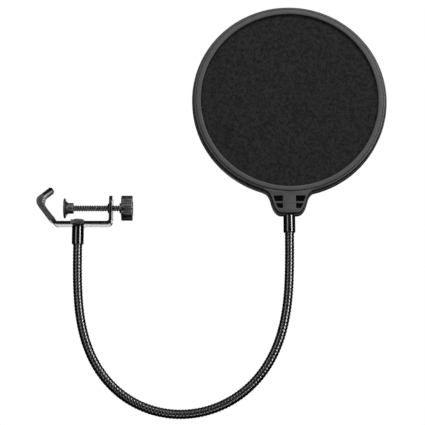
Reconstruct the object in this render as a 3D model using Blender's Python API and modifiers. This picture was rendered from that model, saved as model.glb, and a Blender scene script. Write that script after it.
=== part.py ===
"""Pop filter: two mesh screens in a round hoop, on a gooseneck with a screw clamp for a microphone stand."""

import math

import bmesh
import bpy
from mathutils import Matrix, Vector
from mathutils.geometry import interpolate_bezier

# Sizes are in metres. +Z is up and the screens face -Y. The origin is the middle of the clamp's jaw,
# on the clamp screw's axis. Outlines are (x, z) pairs in the plane Y = 0.
MM = 0.001
GAP = 0.3 * MM

# Clamp bracket: one bent steel strip
STRIP_WIDTH = 15.0 * MM
STRIP_THICK = 2.5 * MM
HOOK_TIP = (-1.57 * MM, 15.23 * MM)
HOOK_TIP_RADIUS = 16.5 * MM
HOOK_VERTEX = (-13.68 * MM, 5.61 * MM)
BASE_LEFT = 1.13 * MM
BASE_LEVEL = -12.45 * MM
UPRIGHT_X = 44.25 * MM
UPRIGHT_TOP = 10.0 * MM
BEND_RADIUS = 3.0 * MM
COLLAR_LENGTH = 1.3 * MM
COLLAR_RADIUS = 3.9 * MM

# Clamp screw, its foot and its knob
SCREW_RADIUS = 2.45 * MM
SCREW_NECK_RADIUS = 1.5 * MM
SCREW_BALL_RADIUS = 2.3 * MM
FOOT_FACE = 7.2 * MM
FOOT_RADIUS = 7.9 * MM
FOOT_RIM = 1.5 * MM
FOOT_HUB_RADIUS = 4.3 * MM
FOOT_HUB_START = 10.6 * MM
FOOT_HUB_END = 14.9 * MM
FOOT_LIP = 1.4 * MM
FOOT_CAVITY_START = 9.3 * MM
KNOB_START = 52.5 * MM
KNOB_END = 61.2 * MM
KNOB_RADIUS = 10.1 * MM
KNOB_FLUTES = 9
KNOB_FLUTE_DEPTH = 1.0 * MM
KNOB_COVER = 2.0 * MM
KNOB_HUB_RADIUS = 3.9 * MM
KNOB_HUB_LENGTH = 1.5 * MM

# Pivot of the neck under the clamp
PIVOT_X = 18.6 * MM
SADDLE_LENGTH = 10.2 * MM
SADDLE_THICK = 0.9 * MM
PIVOT_HEAD_RADIUS = 4.4 * MM
PIVOT_HEAD_HEIGHT = 1.2 * MM
PIVOT_SHANK_RADIUS = 2.3 * MM
PIVOT_SHANK_DEPTH = 5.6 * MM

# Gooseneck and its ferrules
FERRULE_RADIUS = 4.65 * MM
FERRULE_SOCKET = 7.0 * MM
NECK_RADIUS = 3.65 * MM
NECK_LENGTH = 361.4 * MM
NECK_TOP_OF_START = -28.7 * MM
NECK_LINKS = 12
NECK_BEND_SPREAD = 0.713
NECK_BEND_EVEN = 0.212
NECK_BEND_LEAN = 0.074
LINK_STEPS = 6
CUP_RADIUS = NECK_RADIUS + 0.45 * MM

# Hoop: a front and a rear ring, each with half of the tab, around two screens and a spacer
HEAD_X = 185.1 * MM
HEAD_Z = 87.5 * MM
HOOP_RADIUS = 77.5 * MM
HOOP_OPENING = 70.5 * MM
HOOP_HALF_DEPTH = 5.7 * MM
HOOP_PLATE = 1.9 * MM
HOOP_LIP_FRONT = -1.7 * MM
FRONT_RADIUS = 76.0 * MM
FRONT_BAND_RADIUS = 74.2 * MM
FRONT_STEP = 1.2 * MM
SKIRT_THICK = 1.0 * MM
SKIRT_END = 1.0 * MM
SCREEN_THICK = 0.4 * MM
SPACER_WIDTH = 3.6 * MM
HOOP_STEPS = 72

TAB_TOP = -73.0 * MM
TAB_BOTTOM = -93.1 * MM
TAB_FLAT = 6.0 * MM
TAB_SHOULDER = (14.4 * MM, -82.8 * MM)
TAB_ROOT = (20.5 * MM, -74.6 * MM)
TAB_BORDER = 1.5 * MM
TAB_WALL = 1.2 * MM
TAB_BLOCK_WIDTH = 9.6 * MM
POCKET_UPPER = ((5.1, -78.2), (5.1, -82.75), (11.2, -82.75), (12.7, -78.2))
POCKET_LOWER = ((5.1, -84.3), (5.1, -88.2), (8.8, -88.2), (11.0, -84.3))
INSERT_RADIUS = 2.6 * MM
INSERT_LENGTH = 9.0 * MM
INSERT_FLOOR = 3.1 * MM
STUD_RADIUS = 1.9 * MM
STUD_LENGTH = 11.0 * MM

LOOKS = {
    "black_steel": ((0.018, 0.018, 0.019), 0.38, 0.0),
    "black_wire": ((0.015, 0.015, 0.016), 0.30, 0.6),
    "black_gloss": ((0.012, 0.012, 0.013), 0.16, 0.6),
    "black_plastic": ((0.055, 0.055, 0.057), 0.55, 0.0),
    "grip_plastic": ((0.060, 0.060, 0.062), 0.60, 0.0),
    "screen_fabric": ((0.012, 0.012, 0.013), 0.90, 0.0),
    "brass": ((0.60, 0.42, 0.16), 0.30, 1.0),
}


# ---------------------------------------------------------------- scene and objects


def clear_scene():
    for obj in list(bpy.data.objects):
        bpy.data.objects.remove(obj, do_unlink=True)


def new_collection(name, hidden=False):
    made = bpy.data.collections.new(name)
    made.hide_render = hidden
    bpy.context.scene.collection.children.link(made)
    return made


def new_material(name, colour, roughness, metallic):
    look = bpy.data.materials.new(name)
    look.use_nodes = True
    shader = look.node_tree.nodes["Principled BSDF"]
    shader.inputs["Base Color"].default_value = (*colour, 1.0)
    shader.inputs["Roughness"].default_value = roughness
    shader.inputs["Metallic"].default_value = metallic
    return look


clear_scene()
PARTS = new_collection("pop_filter")
CUTTERS = new_collection("cutters", hidden=True)


def add_object(name, data, look=None):
    """A part when it has a look, and a cutter when it has none."""
    obj = bpy.data.objects.new(name, data)
    if look is None:
        CUTTERS.objects.link(obj)
        obj.hide_render = True
        obj.display_type = "WIRE"
        return obj
    PARTS.objects.link(obj)
    data.materials.append(new_material(name, *LOOKS[look]))
    return obj


def along_x(x=0.0, z=0.0):
    """Turns a shape made about Z to lie along +X, and moves its zero height to x."""
    return Matrix.Translation((x, 0, z)) @ Matrix.Rotation(math.pi / 2, 4, "Y")


def facing_front(x=0.0, z=0.0):
    """Turns a shape made about Z so that its outline lies in XZ and its top faces -Y."""
    return Matrix.Translation((x, 0, z)) @ Matrix.Rotation(math.pi / 2, 4, "X")


def turned(name, profile, look=None, steps=24, matrix=None):
    """A turned solid about Z. The profile's (radius, height) points run down its outer side."""
    mesh = bpy.data.meshes.new(name)
    points = [(radius, 0, height) for radius, height in profile]
    edges = [(i, i + 1) for i in range(len(points) - 1)]
    if profile[0][0] > 0:
        edges.append((len(points) - 1, 0))
    mesh.from_pydata(points, edges, [])
    obj = add_object(name, mesh, look)
    screw = obj.modifiers.new("turn", "SCREW")
    screw.steps = screw.render_steps = steps
    screw.use_merge_vertices = True
    screw.merge_threshold = 0.00005
    screw.use_smooth_shade = True
    obj.matrix_world = matrix or Matrix()
    return obj


def bar(name, radius, low, high, look=None, steps=24, matrix=None):
    """A plain cylinder about Z from low to high."""
    profile = [(0, high), (radius, high), (radius, low), (0, low)]
    return turned(name, profile, look, steps, matrix)


def mesh_of(curve_object, look=None):
    """A mesh object in place of a curve object, its caps welded."""
    bpy.context.view_layer.update()
    graph = bpy.context.evaluated_depsgraph_get()
    mesh = bpy.data.meshes.new_from_object(curve_object.evaluated_get(graph))
    edit = bmesh.new()
    edit.from_mesh(mesh)
    bmesh.ops.remove_doubles(edit, verts=edit.verts, dist=0.000001)
    bmesh.ops.recalc_face_normals(edit, faces=edit.faces)
    edit.to_mesh(mesh)
    edit.free()
    name = curve_object.name
    place = curve_object.matrix_world.copy()
    bpy.data.objects.remove(curve_object, do_unlink=True)
    mesh.materials.clear()
    obj = add_object(name, mesh, look)
    obj.name = name
    obj.matrix_world = place
    return obj


def slab(name, outline, low, high, look=None):
    """A flat plate in the plane XZ, cut to an outline, from Y = low to Y = high."""
    curve = bpy.data.curves.new(name, "CURVE")
    curve.dimensions = "2D"
    curve.fill_mode = "BOTH"
    curve.extrude = (high - low) / 2
    spline = curve.splines.new("POLY")
    spline.points.add(len(outline) - 1)
    for point, (x, z) in zip(spline.points, outline):
        point.co = (x, z, 0, 1)
    spline.use_cyclic_u = True
    obj = bpy.data.objects.new(name, curve)
    CUTTERS.objects.link(obj)
    obj.matrix_world = Matrix.Translation((0, (low + high) / 2, 0)) @ Matrix.Rotation(math.pi / 2, 4, "X")
    return mesh_of(obj, look)


def block(name, low, high, look=None):
    """A box between two corners."""
    mesh = bpy.data.meshes.new(name)
    size = Vector(high) - Vector(low)
    middle = (Vector(high) + Vector(low)) / 2
    edit = bmesh.new()
    bmesh.ops.create_cube(edit, size=1.0, matrix=Matrix.LocRotScale(middle, None, size))
    edit.to_mesh(mesh)
    edit.free()
    return add_object(name, mesh, look)


def ball(name, centre, radius, segments=20):
    mesh = bpy.data.meshes.new(name)
    edit = bmesh.new()
    bmesh.ops.create_uvsphere(edit, u_segments=segments, v_segments=segments // 2, radius=radius)
    edit.to_mesh(mesh)
    edit.free()
    obj = add_object(name, mesh)
    obj.location = centre
    return obj


def combine(obj, other, operation="DIFFERENCE"):
    step = obj.modifiers.new(other.name, "BOOLEAN")
    step.operation = operation
    step.solver = "EXACT"
    step.object = other


def filleted(corners, radius, steps=4):
    """The open path through the corners, each inner corner rounded to the radius."""
    corners = [Vector(corner) for corner in corners]
    path = [corners[0]]
    for before, corner, after in zip(corners, corners[1:], corners[2:]):
        into = (corner - before).normalized()
        out = (after - corner).normalized()
        half_turn = into.angle(out) / 2
        centre = corner + (out - into).normalized() * radius / math.cos(half_turn)
        start = (corner - into * radius * math.tan(half_turn) - centre).normalized()
        end = (corner + out * radius * math.tan(half_turn) - centre).normalized()
        path += [centre + start.slerp(end, i / steps) * radius for i in range(steps + 1)]
    return path + [corners[-1]]


# ---------------------------------------------------------------- clamp


def bent_strip(name, width, thick, look=None):
    """The clamp's strip: hook, base and upright in one bent sheet."""
    corners = [
        HOOK_TIP,
        HOOK_VERTEX,
        (BASE_LEFT, BASE_LEVEL),
        (UPRIGHT_X, BASE_LEVEL),
        (UPRIGHT_X, UPRIGHT_TOP),
    ]
    path = filleted(corners, BEND_RADIUS)
    mesh = bpy.data.meshes.new(name)
    points = [(x, side * width / 2, z) for x, z in path for side in (-1, 1)]
    faces = [(i, i + 1, i + 3, i + 2) for i in range(0, len(points) - 2, 2)]
    mesh.from_pydata(points, [], faces)
    obj = add_object(name, mesh, look)
    shell = obj.modifiers.new("sheet", "SOLIDIFY")
    shell.thickness = thick
    shell.offset = 0
    shell.use_even_offset = True
    return obj


def end_corners(name, radius, end, direction):
    """What is cut off the strip to round one of its ends, seen square on, to a radius.
    The direction points out of the strip's end, as an angle from +Z towards +X."""
    reach = STRIP_WIDTH / 2 + 0.1 * MM
    first = math.acos(reach / radius)
    angles = [first + (math.pi - 2 * first) * i / 12 for i in range(13)]
    outline = [(radius * math.cos(a), radius * math.sin(a) - radius) for a in angles]
    low = outline[0][1]
    outline += [(-2 * reach, low), (-2 * reach, reach), (2 * reach, reach), (2 * reach, low)]
    depth = 2 * STRIP_THICK
    cutter = slab(name, outline, -depth, depth)
    place = Matrix.Translation((end[0], 0, end[1])) @ Matrix.Rotation(direction, 4, "Y")
    cutter.matrix_world = place @ Matrix.Rotation(math.pi / 2, 4, "Z") @ cutter.matrix_world
    return cutter


def make_bracket():
    bracket = bent_strip("clamp_bracket", STRIP_WIDTH, STRIP_THICK, "black_steel")
    top_radius = STRIP_WIDTH / 2 + 0.1 * MM
    combine(bracket, end_corners("upright_corners", top_radius, (UPRIGHT_X, UPRIGHT_TOP), 0.0))
    arm = Vector(HOOK_TIP) - Vector(HOOK_VERTEX)
    combine(bracket, end_corners("tip_corners", HOOK_TIP_RADIUS, HOOK_TIP, math.atan2(arm.x, arm.y)))
    inner_face = UPRIGHT_X - STRIP_THICK / 2
    collar = bar("collar_tube", COLLAR_RADIUS, inner_face - COLLAR_LENGTH, UPRIGHT_X, matrix=along_x())
    combine(bracket, collar, "UNION")
    reach = 2 * STRIP_THICK
    bore = bar("thread_bore", SCREW_RADIUS + GAP, UPRIGHT_X - reach, UPRIGHT_X + reach, matrix=along_x())
    combine(bracket, bore)
    place = Matrix.Translation((PIVOT_X, 0, BASE_LEVEL))
    combine(bracket, bar("pivot_hole", PIVOT_SHANK_RADIUS + GAP, -reach, reach, matrix=place))


def make_grip():
    """Moulded sleeve over the hook, thicker inside its bend where the stand's tube sits."""
    corners = [
        (-7.3, 9.9),
        (-8.05, 8.6),
        (-8.3, 7.2),
        (-8.6, 5.9),
        (-8.55, 4.4),
        (-8.1, 3.0),
        (-7.4, 1.7),
        (-6.2, 0.2),
        (-4.0, -2.8),
        (-1.6, -5.7),
        (0.9, -8.7),
        (1.7, -10.0),
        (1.4, -10.5),
        (-3.1, -10.5),
        (-3.6, -10.1),
        (-7.3, -5.5),
        (-11.5, 0.0),
        (-12.95, 1.8),
        (-13.45, 3.2),
        (-13.4, 5.6),
        (-12.7, 7.3),
        (-11.2, 8.7),
        (-9.2, 10.35),
        (-8.2, 9.2),
    ]
    outline = [(x * MM, z * MM) for x, z in corners]
    half_width = STRIP_WIDTH / 2 + GAP + 0.8 * MM
    grip = slab("jaw_grip", outline, -half_width, half_width, "grip_plastic")
    combine(grip, bent_strip("grip_channel", STRIP_WIDTH + 2 * GAP, STRIP_THICK + 2 * GAP))


def make_saddle():
    """Moulded washer that wraps the base over the pivot."""
    base_top = BASE_LEVEL + STRIP_THICK / 2
    base_bottom = BASE_LEVEL - STRIP_THICK / 2
    low_x = PIVOT_X - SADDLE_LENGTH / 2
    high_x = PIVOT_X + SADDLE_LENGTH / 2
    half_width = STRIP_WIDTH / 2 + GAP
    outer = half_width + SADDLE_THICK
    top = base_top + GAP + SADDLE_THICK
    saddle = block("pivot_saddle", (low_x, -outer, base_bottom), (high_x, outer, top), "grip_plastic")
    below = base_bottom - MM
    inside_low = (low_x - MM, -half_width, below)
    inside_high = (high_x + MM, half_width, base_top + GAP)
    inside = block("saddle_channel", inside_low, inside_high)
    combine(saddle, inside)
    place = Matrix.Translation((PIVOT_X, 0, 0))
    hole = bar("saddle_hole", PIVOT_SHANK_RADIUS + GAP, BASE_LEVEL, top + MM, matrix=place)
    combine(saddle, hole)


def make_pivot_screw():
    """Low-headed screw through saddle and base into the lower ferrule."""
    seat = BASE_LEVEL + STRIP_THICK / 2 + SADDLE_THICK + 2 * GAP
    tip = BASE_LEVEL - STRIP_THICK / 2 - PIVOT_SHANK_DEPTH
    top = seat + PIVOT_HEAD_HEIGHT
    profile = [
        (0, top),
        (PIVOT_HEAD_RADIUS * 0.7, top),
        (PIVOT_HEAD_RADIUS, seat + PIVOT_HEAD_HEIGHT * 0.45),
        (PIVOT_HEAD_RADIUS, seat),
        (PIVOT_SHANK_RADIUS, seat),
        (PIVOT_SHANK_RADIUS, tip + 0.5 * MM),
        (PIVOT_SHANK_RADIUS * 0.8, tip),
        (0, tip),
    ]
    turned("pivot_screw", profile, "black_steel", matrix=Matrix.Translation((PIVOT_X, 0, 0)))


def make_foot():
    """Pressure foot: a flange on a hub that snaps over the screw's ball."""
    cavity = SCREW_BALL_RADIUS + GAP
    mouth = SCREW_NECK_RADIUS + GAP
    lip_start = FOOT_HUB_END - FOOT_LIP
    profile = [
        (mouth, FOOT_HUB_END),
        (FOOT_HUB_RADIUS, FOOT_HUB_END),
        (FOOT_HUB_RADIUS, FOOT_HUB_START),
        (FOOT_HUB_RADIUS + 1.2 * MM, FOOT_FACE + FOOT_RIM + 0.5 * MM),
        (FOOT_RADIUS, FOOT_FACE + FOOT_RIM),
        (FOOT_RADIUS, FOOT_FACE),
        (0, FOOT_FACE),
    ]
    inner = [
        (0, FOOT_CAVITY_START),
        (cavity, FOOT_CAVITY_START),
        (cavity, lip_start),
        (mouth, lip_start),
    ]
    turned("pressure_foot", inner + profile, "grip_plastic", matrix=along_x())


def make_clamp_screw():
    ball_start = FOOT_CAVITY_START + GAP
    ball_end = FOOT_HUB_END - FOOT_LIP - GAP
    shank_start = FOOT_HUB_END + GAP
    shank_end = KNOB_END - KNOB_COVER
    profile = [
        (0, shank_end),
        (SCREW_RADIUS, shank_end),
        (SCREW_RADIUS, shank_start + 0.5 * MM),
        (SCREW_RADIUS - 0.5 * MM, shank_start),
        (SCREW_NECK_RADIUS, shank_start),
        (SCREW_NECK_RADIUS, ball_end),
        (SCREW_BALL_RADIUS, ball_end - 0.6 * MM),
        (SCREW_BALL_RADIUS, ball_start + 1.0 * MM),
        (SCREW_BALL_RADIUS * 0.6, ball_start),
        (0, ball_start),
    ]
    turned("clamp_screw", profile, "black_steel", matrix=along_x())


def knob_outline():
    """A round outline with scalloped flutes."""
    count = KNOB_FLUTES * 8
    points = []
    for i in range(count):
        angle = math.tau * i / count
        dip = KNOB_FLUTE_DEPTH * (0.5 - 0.5 * math.cos(KNOB_FLUTES * angle)) ** 2
        points.append(((KNOB_RADIUS - dip) * math.cos(angle), (KNOB_RADIUS - dip) * math.sin(angle)))
    return points


def make_knob():
    knob = slab("clamp_knob", knob_outline(), KNOB_START, KNOB_END, "grip_plastic")
    knob.matrix_world = Matrix.Rotation(-math.pi / 2, 4, "Z") @ knob.matrix_world
    hub = bar("knob_hub", KNOB_HUB_RADIUS, KNOB_START - KNOB_HUB_LENGTH, KNOB_START + MM, matrix=along_x())
    combine(knob, hub, "UNION")
    bore_end = KNOB_END - KNOB_COVER + GAP
    bore = bar("knob_bore", SCREW_RADIUS + GAP, KNOB_START - 3 * MM, bore_end, matrix=along_x())
    combine(knob, bore)


# ---------------------------------------------------------------- gooseneck


def neck_heading(t):
    """Direction of the neck at t, from 0 at the clamp to 1 at the hoop: an angle from +X in XZ.
    It runs straight down, round the U, and straight up."""
    whole = math.tau * t
    bend = math.pi * (t - 0.5)
    bend -= NECK_BEND_SPREAD / 2 * math.sin(whole)
    bend -= NECK_BEND_EVEN / 4 * math.sin(2 * whole)
    bend += NECK_BEND_LEAN / 2 * (1 - math.cos(whole))
    return bend


def neck_route(count):
    """The centre line of the neck as count + 1 points evenly spaced along it."""
    fine = 16
    step = NECK_LENGTH / (count * fine)
    point = Vector((PIVOT_X, 0, NECK_TOP_OF_START))
    route = [point.copy()]
    for i in range(count * fine):
        angle = neck_heading((i + 0.5) / (count * fine))
        point += Vector((math.cos(angle), 0, math.sin(angle))) * step
        if (i + 1) % fine == 0:
            route.append(point.copy())
    return route


ROUTE = neck_route(NECK_LINKS * LINK_STEPS)
NECK_END = ROUTE[-1]


def tube(name, points, radii, look):
    """A round tube through the points, with its radius at each."""
    curve = bpy.data.curves.new(name, "CURVE")
    curve.dimensions = "3D"
    curve.bevel_depth = NECK_RADIUS
    curve.bevel_resolution = 2
    curve.use_fill_caps = True
    spline = curve.splines.new("POLY")
    spline.points.add(len(points) - 1)
    for knot, point, radius in zip(spline.points, points, radii):
        knot.co = (*point, 1)
        knot.radius = radius / NECK_RADIUS
    obj = bpy.data.objects.new(name, curve)
    CUTTERS.objects.link(obj)
    return mesh_of(obj, look)


def rounded_start(centre, direction):
    """Points and radii of the half ball that starts a link, centred on its joint."""
    angles = [math.radians(a) for a in (80, 55, 28)]
    points = [centre - direction * NECK_RADIUS * math.sin(a) for a in angles]
    return points, [NECK_RADIUS * math.cos(a) for a in angles]


def make_link(index):
    """One stretch of the neck. Its start is a half ball on its joint, and its end a cup around the next."""
    stretch = ROUTE[index * LINK_STEPS : (index + 1) * LINK_STEPS + 1]
    stub = Vector((0, 0, FERRULE_SOCKET - GAP))
    last = index == NECK_LINKS - 1
    if index == 0:
        cap, cap_radii = [stretch[0] + stub], [NECK_RADIUS]
    else:
        cap, cap_radii = rounded_start(stretch[0], (stretch[1] - stretch[0]).normalized())
    if last:
        stretch.append(stretch[-1] + stub)
    points = cap + stretch
    radii = cap_radii + [NECK_RADIUS] * len(stretch)
    number = f"{index + 1:02d}"
    link = tube(f"gooseneck_{number}", points, radii, "black_wire")
    if not last:
        combine(link, ball(f"cup_{number}", stretch[-1], CUP_RADIUS))


def make_lower_ferrule():
    """Swaged sleeve: threaded bore above for the pivot screw, socket below for the neck."""
    top = BASE_LEVEL - STRIP_THICK / 2 - GAP
    bottom = NECK_TOP_OF_START
    bore = PIVOT_SHANK_RADIUS + GAP
    bore_end = top - PIVOT_SHANK_DEPTH - GAP
    socket = NECK_RADIUS + GAP
    profile = [
        (0, bore_end),
        (bore, bore_end),
        (bore, top),
        (FERRULE_RADIUS - 0.4 * MM, top),
        (FERRULE_RADIUS, top - 0.4 * MM),
        (FERRULE_RADIUS, bottom + 0.4 * MM),
        (FERRULE_RADIUS - 0.4 * MM, bottom),
        (socket, bottom),
        (socket, bottom + FERRULE_SOCKET),
        (0, bottom + FERRULE_SOCKET),
    ]
    turned("lower_ferrule", profile, "black_gloss", matrix=Matrix.Translation((PIVOT_X, 0, 0)))


def make_upper_ferrule():
    """Swaged sleeve with a stud above that screws into the hoop's tab."""
    top = HEAD_Z + TAB_BOTTOM - GAP
    bottom = NECK_END.z
    socket = NECK_RADIUS + GAP
    profile = [
        (0, top + STUD_LENGTH),
        (STUD_RADIUS, top + STUD_LENGTH),
        (STUD_RADIUS, top),
        (FERRULE_RADIUS - 0.4 * MM, top),
        (FERRULE_RADIUS, top - 0.4 * MM),
        (FERRULE_RADIUS, bottom + 0.4 * MM),
        (FERRULE_RADIUS - 0.4 * MM, bottom),
        (socket, bottom),
        (socket, bottom + FERRULE_SOCKET),
        (0, bottom + FERRULE_SOCKET),
    ]
    turned("upper_ferrule", profile, "black_gloss", matrix=Matrix.Translation((NECK_END.x, 0, 0)))


# ---------------------------------------------------------------- hoop


def tab_half():
    """Right half of the tab's outline below the hoop, from the rim to the middle of its bottom."""
    root = Vector((*TAB_ROOT, 0))
    shoulder = Vector((*TAB_SHOULDER, 0))
    foot = Vector((TAB_FLAT, TAB_BOTTOM, 0))
    down = Vector((-0.25, -0.97, 0))
    inward = Vector((-1, 0, 0))
    along_rim = Vector((root.y, -root.x, 0)).normalized()
    upper = interpolate_bezier(root, root + along_rim * 4 * MM, shoulder - down * 3.5 * MM, shoulder, 6)
    lower = interpolate_bezier(shoulder, shoulder + down * 6 * MM, foot - inward * 4.5 * MM, foot, 8)
    return [(point.x, point.y) for point in upper + lower[1:]]


def tab_outline(shrink, top):
    """The tab's whole outline, moved in by shrink, closed by a straight line at height top."""
    half = tab_half()
    moved = []
    for i, (x, z) in enumerate(half):
        before = Vector(half[max(i - 1, 0)])
        after = Vector(half[min(i + 1, len(half) - 1)])
        along = (after - before).normalized()
        moved.append((x + along.y * shrink, z - along.x * shrink))
    moved = [(moved[0][0], top)] + moved
    mirrored = [(-x, z) for x, z in reversed(moved)]
    return [(NECK_END.x + x, HEAD_Z + z) for x, z in moved + mirrored]


def ring(name, profile, look=None):
    """A ring about the hoop's axis. Its (radius, y) points run round its section, outer side first."""
    flipped = [(radius, -y) for radius, y in profile]
    return turned(name, flipped, look, HOOP_STEPS, facing_front(HEAD_X, HEAD_Z))


def stud_axis():
    """Places a shape made about Z on the stud's axis, its zero height at the tab's bottom."""
    return Matrix.Translation((NECK_END.x, 0, HEAD_Z + TAB_BOTTOM))


def hoop_disc(name, radius):
    """A cutter that clears everything inside a radius about the hoop's axis."""
    reach = 4 * HOOP_HALF_DEPTH
    return bar(name, radius, -reach, reach, steps=HOOP_STEPS, matrix=facing_front(HEAD_X, HEAD_Z))


def tab_skirt(front, back):
    """The wall round the front tab, which plugs into the rear tab's tray."""
    skirt = slab("tab_skirt", tab_outline(TAB_BORDER, TAB_TOP), front, back)
    inside = tab_outline(TAB_BORDER + SKIRT_THICK, TAB_TOP + 2 * MM)
    combine(skirt, slab("tab_skirt_inside", inside, front - MM, back + MM))
    combine(skirt, hoop_disc("tab_skirt_trim", FRONT_RADIUS - SKIRT_THICK / 2))
    return skirt


def make_front():
    """Front ring with a skirt that plugs into the rear ring, and the front half of the tab."""
    front = -HOOP_HALF_DEPTH
    back = front + HOOP_PLATE
    profile = [
        (FRONT_BAND_RADIUS, front),
        (FRONT_RADIUS, front + FRONT_STEP),
        (FRONT_RADIUS, SKIRT_END),
        (FRONT_RADIUS - SKIRT_THICK, SKIRT_END),
        (FRONT_RADIUS - SKIRT_THICK, back),
        (HOOP_OPENING, back),
        (HOOP_OPENING, front),
    ]
    hoop = ring("hoop_front", profile, "black_plastic")
    plate_front = front + FRONT_STEP / 2
    combine(hoop, slab("front_tab", tab_outline(TAB_BORDER, TAB_TOP), plate_front, back), "UNION")
    combine(hoop, tab_skirt(back - 0.2 * MM, SKIRT_END), "UNION")
    for row, corners in (("upper", POCKET_UPPER), ("lower", POCKET_LOWER)):
        combine(hoop, pocket_cutter(f"pocket_{row}_left", corners, -MM))
        combine(hoop, pocket_cutter(f"pocket_{row}_right", corners, MM))
    combine(hoop, bar("stud_clearance", INSERT_RADIUS + GAP, -MM, 4 * MM, matrix=stud_axis()))


def pocket_cutter(name, corners, across):
    """One window in the tab's front. Corners are in millimetres, and across puts them left or right."""
    placed = [(NECK_END.x + x * across, HEAD_Z + z * MM) for x, z in corners]
    return slab(name, placed, -HOOP_HALF_DEPTH - MM, -HOOP_HALF_DEPTH + HOOP_PLATE + GAP)


def make_rear():
    """Rear ring: a cup with a lip round the front ring, and the tab's tray with the stud's block."""
    back = HOOP_HALF_DEPTH
    floor = back - HOOP_PLATE
    inner = FRONT_RADIUS + GAP
    profile = [
        (HOOP_RADIUS - 0.4 * MM, HOOP_LIP_FRONT),
        (HOOP_RADIUS, HOOP_LIP_FRONT + 0.5 * MM),
        (HOOP_RADIUS, back - 1.0 * MM),
        (HOOP_RADIUS - 1.0 * MM, back),
        (HOOP_OPENING, back),
        (HOOP_OPENING, floor),
        (inner, floor),
        (inner, HOOP_LIP_FRONT),
    ]
    hoop = ring("hoop_rear", profile, "black_plastic")
    tray = slab("rear_tab", tab_outline(0, TAB_TOP), HOOP_LIP_FRONT, back - 0.5 * MM)
    combine(tray, hoop_disc("tray_trim", inner + 0.4 * MM))
    combine(hoop, tray, "UNION")
    hollow = slab("tab_hollow", tab_outline(TAB_WALL, TAB_TOP + 2 * MM), HOOP_LIP_FRONT - MM, floor)
    combine(hollow, hoop_disc("hollow_trim", inner - 0.5 * MM))
    combine(hoop, hollow)
    block_bottom = HEAD_Z + TAB_BOTTOM + TAB_BORDER + SKIRT_THICK + GAP
    middle = block(
        "stud_block",
        (NECK_END.x - TAB_BLOCK_WIDTH / 2, -HOOP_HALF_DEPTH + HOOP_PLATE + GAP, block_bottom),
        (NECK_END.x + TAB_BLOCK_WIDTH / 2, floor + 0.5 * MM, HEAD_Z - FRONT_RADIUS - 0.8 * MM),
    )
    combine(hoop, middle, "UNION")
    top_of_hole = INSERT_FLOOR + INSERT_LENGTH + GAP
    combine(hoop, bar("insert_hole", INSERT_RADIUS + GAP, -MM, top_of_hole, matrix=stud_axis()))


def make_insert():
    """Brass threaded insert in the stud's block."""
    bore = STUD_RADIUS + GAP
    low = INSERT_FLOOR
    high = INSERT_FLOOR + INSERT_LENGTH
    profile = [(bore, high), (INSERT_RADIUS, high), (INSERT_RADIUS, low), (bore, low)]
    turned("tab_insert", profile, "brass", matrix=stud_axis())


def make_spacer(screen_back):
    """Ring that holds the two screens apart."""
    outer = FRONT_RADIUS - SKIRT_THICK - GAP
    depth = screen_back - SCREEN_THICK - GAP
    profile = [
        (outer, -depth),
        (outer, depth),
        (outer - SPACER_WIDTH, depth),
        (outer - SPACER_WIDTH, -depth),
    ]
    ring("spacer_ring", profile, "black_plastic")


def make_screens():
    """Two flat screens clamped between the rings and the spacer."""
    outer = FRONT_RADIUS - SKIRT_THICK - GAP
    back = HOOP_HALF_DEPTH - HOOP_PLATE - GAP
    for name, high in (("screen_front", -back + SCREEN_THICK), ("screen_rear", back)):
        bar(
            name,
            outer,
            -high,
            SCREEN_THICK - high,
            "screen_fabric",
            HOOP_STEPS,
            facing_front(HEAD_X, HEAD_Z),
        )
    make_spacer(back)


make_bracket()
make_grip()
make_saddle()
make_pivot_screw()
make_foot()
make_clamp_screw()
make_knob()
make_lower_ferrule()
for number in range(NECK_LINKS):
    make_link(number)
make_upper_ferrule()
make_insert()
make_front()
make_rear()
make_screens()
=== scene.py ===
"""Looks of a pop filter: two knitted screens in a round hoop, a wound gooseneck and a screw clamp."""

import math

import bmesh
import bpy
import numpy as np
from mathutils import Matrix, Vector, noise
from mathutils.geometry import interpolate_bezier


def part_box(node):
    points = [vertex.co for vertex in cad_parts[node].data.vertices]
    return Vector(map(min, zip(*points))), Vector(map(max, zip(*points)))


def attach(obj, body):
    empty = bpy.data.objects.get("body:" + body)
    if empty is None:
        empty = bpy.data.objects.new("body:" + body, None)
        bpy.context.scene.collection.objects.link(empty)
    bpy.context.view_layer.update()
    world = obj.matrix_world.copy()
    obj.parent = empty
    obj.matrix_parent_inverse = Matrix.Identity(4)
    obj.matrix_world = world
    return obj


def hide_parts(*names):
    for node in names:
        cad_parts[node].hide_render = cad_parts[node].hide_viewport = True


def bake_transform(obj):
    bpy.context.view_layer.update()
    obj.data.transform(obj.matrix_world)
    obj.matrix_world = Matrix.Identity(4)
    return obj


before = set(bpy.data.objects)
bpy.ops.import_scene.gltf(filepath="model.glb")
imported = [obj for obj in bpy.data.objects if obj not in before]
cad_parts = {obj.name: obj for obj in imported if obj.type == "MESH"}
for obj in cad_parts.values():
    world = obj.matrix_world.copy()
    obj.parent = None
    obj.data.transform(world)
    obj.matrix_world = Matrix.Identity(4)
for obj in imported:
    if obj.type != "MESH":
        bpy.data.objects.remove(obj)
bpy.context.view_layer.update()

# Sizes are in metres, and the CAD part's own. +Z is up and the screens face -Y.
MM = 0.001
GAP = 0.3 * MM
SMOOTH_BELOW = math.radians(38)

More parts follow.
